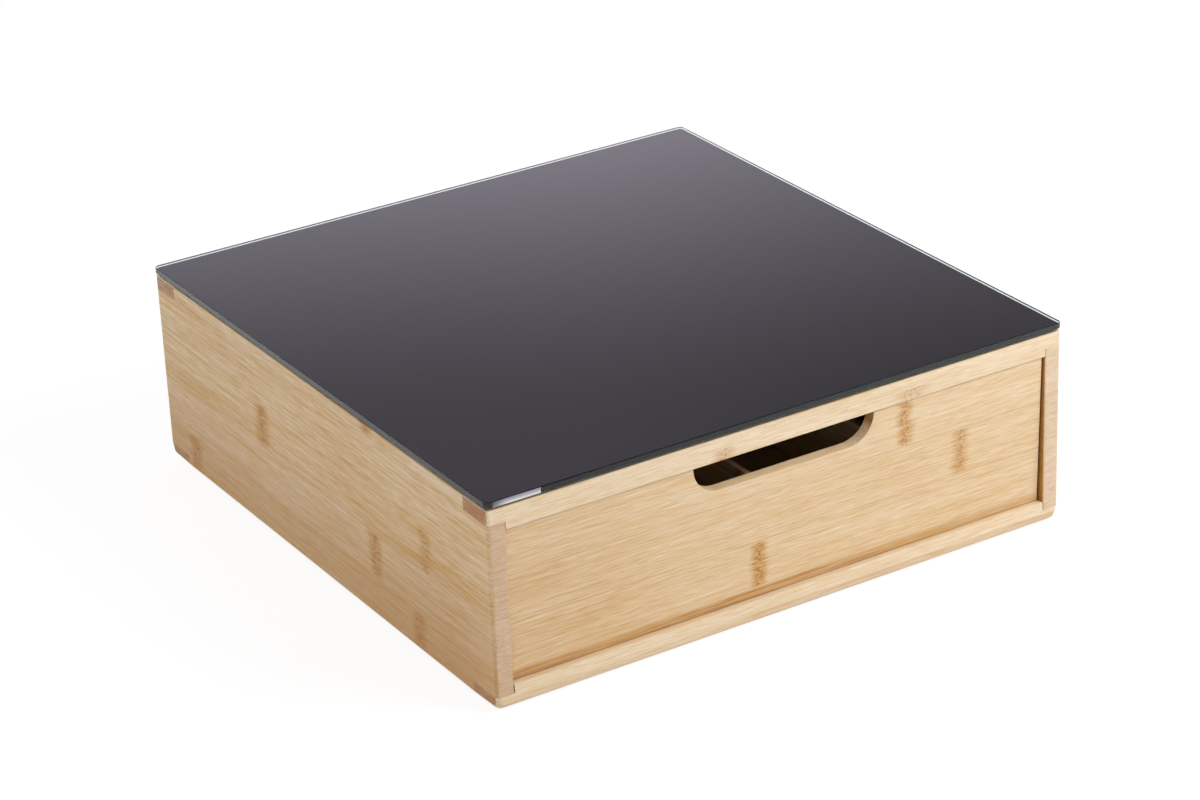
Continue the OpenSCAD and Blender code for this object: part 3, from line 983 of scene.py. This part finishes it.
class CAPSULE_OT_feet_and_pads(StepOperator, bpy.types.Operator):
    """Make the anti-slip feet, the bedding pads of the glass and the felt stops of the drawer"""

    bl_idname = "capsule.feet_and_pads"
    bl_label = "Feet, pads and stops"
    holder = "capsule_small_pieces"

    def make(self, small):
        rubber = speckled_material("rubber_grey", small.rubber, 0.7, 0.6 * MM, 0.15, 0.05 * MM)
        felt = speckled_material("felt_grey", small.felt, 0.95, 0.5 * MM, 0.35, 0.15 * MM)
        clear = speckled_material(
            "pad_clear", small.clear, 0.2, 1 * MM, 0.04, values={"Transmission Weight": 0.9}
        )
        downwards = Matrix.Rotation(math.pi, 4, "X")
        backwards = Matrix.Rotation(-math.pi / 2, 4, "X")
        upwards = Matrix.Identity(4)
        self.set_discs(small, "feet", "case", "foot_rubber", rubber, 2, 2, downwards)
        self.set_discs(small, "glass_pads", "case", "clear_pad", clear, 3, 2, upwards)
        self.set_discs(small, "drawer_stops", "drawer", "felt", felt, 2, 1, backwards)

    def set_discs(self, small, node, body, slot, material, columns, rows, turn):
        low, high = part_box(node)
        size = turn.to_3x3().transposed() @ (high - low)
        span_x, span_y, height = (abs(part) for part in size)
        diameter = span_y if rows == 1 else self.disc_diameter(node)
        mesh = disc_grid(node, {
            "Columns": columns, "Rows": rows, "Span X": span_x - diameter, "Span Y": span_y - diameter,
            "Radius": diameter / 2, "Height": height, "Chamfer": min(small.chamfer, height / 2),
            "Sides": small.sides,
        })
        base = (low + high) / 2 - turn.to_3x3() @ Vector((0, 0, height / 2))
        mesh.transform(Matrix.Translation(base) @ turn)
        add_mesh_piece(node + "_discs", mesh, body, slot, [material], node)

    def disc_diameter(self, node):
        """Diameter of the discs of a node, from the corners of its first row."""
        low, _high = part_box(node)
        depths = [corner.co.y - low.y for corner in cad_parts[node].data.vertices]
        return max(depth for depth in depths if depth < DISC_ROW)


class CAPSULE_OT_studio(StepOperator, bpy.types.Operator):
    """Set up the camera, the light and the floor"""

    bl_idname = "capsule.studio"
    bl_label = "Studio"
    holder = "capsule_studio"

    def make(self, studio):
        scene = bpy.context.scene
        scene.view_settings.view_transform = "Standard"
        self.set_camera(scene, studio)
        self.light_world(scene, studio)
        self.hang_key_light(scene, studio)
        self.lay_floor(scene, studio)

    def set_camera(self, scene, studio):
        back = Vector((
            math.sin(studio.azimuth) * math.cos(studio.elevation),
            -math.cos(studio.azimuth) * math.cos(studio.elevation),
            math.sin(studio.elevation),
        ))
        level = back.to_track_quat("Z", "Y").to_matrix().to_4x4()
        camera = bpy.data.objects.new("studio_camera", bpy.data.cameras.new("studio_camera"))
        camera.data.sensor_width = SENSOR_WIDTH
        camera.data.lens = studio.lens
        camera.matrix_world = (
            Matrix.Translation(Vector(studio.aim) + back * studio.distance)
            @ level @ Matrix.Rotation(studio.roll, 4, "Z")
        )
        scene.collection.objects.link(camera)
        scene.camera = camera

    def light_world(self, scene, studio):
        world = bpy.data.worlds.new("studio_walls")
        world.use_nodes = True
        scene.world = world
        shader = Shader(world.node_tree)
        outlook = shader.seat("Generated")
        direction = shader.parts(outlook)
        height = shader.math("ARCSINE", direction["Z"])
        turn = shader.math("ARCTAN2", direction["X"], direction["Y"])
        low = shader.fade(height, *WALL_TOP)
        behind = shader.fade(shader.size(turn), *WALL_ENDS)
        shade = shader.ease(turn, *WALL_SHADED, 1.0, WALL_SHADE)
        dimmed = shader.ease(direction["X"], *LEFT_WALL, studio.left_wall, 1.0)
        glow = shader.times(shader.times(low, behind), studio.back_wall - studio.walls)
        aside = shader.size(shader.plus(turn, studio.azimuth))
        mirrored = shader.fade(aside, *MIRROR_ENDS)
        plain = shader.times_plus(mirrored, studio.high_wall - studio.walls, studio.walls)
        light = shader.times(shader.plus(glow, plain), shade)
        towards_fill = (math.sin(studio.fill_turn), math.cos(studio.fill_turn), FILL_RISE)
        fill = shader.ease(shader.dot(outlook, towards_fill), *FILL_RIM, 0.0, studio.fill)
        level = shader.fade(height, *FILL_TOP)
        light = shader.times_plus(light, dimmed, shader.times(fill, level))
        surface = world.node_tree.nodes["Background"].inputs
        shader.feed(surface["Color"], shader.mix(mirrored, (1, 1, 1), studio.wall_tint))
        shader.feed(surface["Strength"], light)

    def hang_key_light(self, scene, studio):
        lamp = bpy.data.lights.new("key_light", "AREA")
        lamp.shape = "RECTANGLE"
        lamp.size = studio.key_size
        lamp.size_y = studio.key_size * KEY_SHAPE
        lamp.energy = studio.key_power
        key = bpy.data.objects.new("key_light", lamp)
        place = Vector(studio.key_place)
        key.matrix_world = Matrix.Translation(place) @ place.to_track_quat("Z", "Y").to_matrix().to_4x4()
        key.visible_glossy = False
        key.visible_transmission = False
        scene.collection.objects.link(key)

    def lay_floor(self, scene, studio):
        mesh = bpy.data.meshes.new("studio_floor")
        corners = [(FLOOR_HALF * x, FLOOR_HALF * y, 0) for x, y in ((-1, -1), (1, -1), (1, 1), (-1, 1))]
        mesh.from_pydata(corners, [], [(0, 1, 2, 3)])
        floor = bpy.data.objects.new("studio_floor", mesh)
        material, shader, surface = new_material(
            "floor_paper", {"Roughness": 0.9, "Specular IOR Level": 0.1}
        )
        fibres = shader.noise(shader.seat(), (2 * MM,) * 3, 2.0)
        tint = Vector(studio.floor)
        shader.feed(surface["Base Color"], shader.mix(fibres, tint * 0.99, tint))
        seen = shader.node("ShaderNodeLightPath").outputs
        straight = shader.greater(seen["Is Camera Ray"], seen["Is Glossy Ray"])
        straight = shader.greater(straight, seen["Is Transmission Ray"])
        white = shader.node("ShaderNodeEmission", {"Strength": studio.floor_glow})
        shade = shader.node("ShaderNodeBsdfDiffuse", {"Color": [FLOOR_WHITE - studio.floor_glow] * 3})
        shown = shader.node("ShaderNodeAddShader", {0: white.outputs["Emission"], 1: shade.outputs["BSDF"]})
        nodes = material.node_tree.nodes
        lit = nodes["Principled BSDF"].outputs["BSDF"]
        blend = shader.node("ShaderNodeMixShader", {0: straight, 1: lit, 2: shown.outputs["Shader"]})
        shader.feed(nodes["Material Output"].inputs["Surface"], blend.outputs["Shader"])
        mesh.materials.append(material)
        scene.collection.objects.link(floor)


class CAPSULE_PT_panel(bpy.types.Panel):
    """Steps of the capsule drawer and the values that they use"""

    bl_idname = "CAPSULE_PT_panel"
    bl_label = "Capsule drawer"
    bl_space_type = "VIEW_3D"
    bl_region_type = "UI"
    bl_category = "Capsule drawer"

    def draw(self, context):
        for step in STEPS:
            self.layout.operator(step.bl_idname)
        for holder in HOLDERS:
            box = self.layout.box()
            group = getattr(context.scene, holder)
            for name in group.__annotations__:
                box.prop(group, name)


HOLDERS = {
    "capsule_bamboo": BambooFinish,
    "capsule_glass": GlassFinish,
    "capsule_small_pieces": SmallPieceFinish,
    "capsule_studio": StudioSetup,
}
STEPS = (
    CAPSULE_OT_side_panels,
    CAPSULE_OT_rails,
    CAPSULE_OT_case_panels,
    CAPSULE_OT_glass_top,
    CAPSULE_OT_drawer_front,
    CAPSULE_OT_drawer_box,
    CAPSULE_OT_dividers,
    CAPSULE_OT_dowels,
    CAPSULE_OT_feet_and_pads,
    CAPSULE_OT_studio,
)
CLASSES = (*HOLDERS.values(), *STEPS, CAPSULE_PT_panel)


def register():
    for made in CLASSES:
        bpy.utils.register_class(made)
    for holder, group in HOLDERS.items():
        setattr(bpy.types.Scene, holder, PointerProperty(type=group))


def unregister():
    for holder in HOLDERS:
        delattr(bpy.types.Scene, holder)
    for made in reversed(CLASSES):
        bpy.utils.unregister_class(made)


def main():
    register()
    bpy.ops.capsule.side_panels()
    bpy.ops.capsule.rails()
    bpy.ops.capsule.case_panels()
    bpy.ops.capsule.glass_top()
    bpy.ops.capsule.drawer_front()
    bpy.ops.capsule.drawer_box()
    bpy.ops.capsule.dividers()
    bpy.ops.capsule.dowels()
    bpy.ops.capsule.feet_and_pads()
    bpy.ops.capsule.studio()


if __name__ == "__main__":
    main()
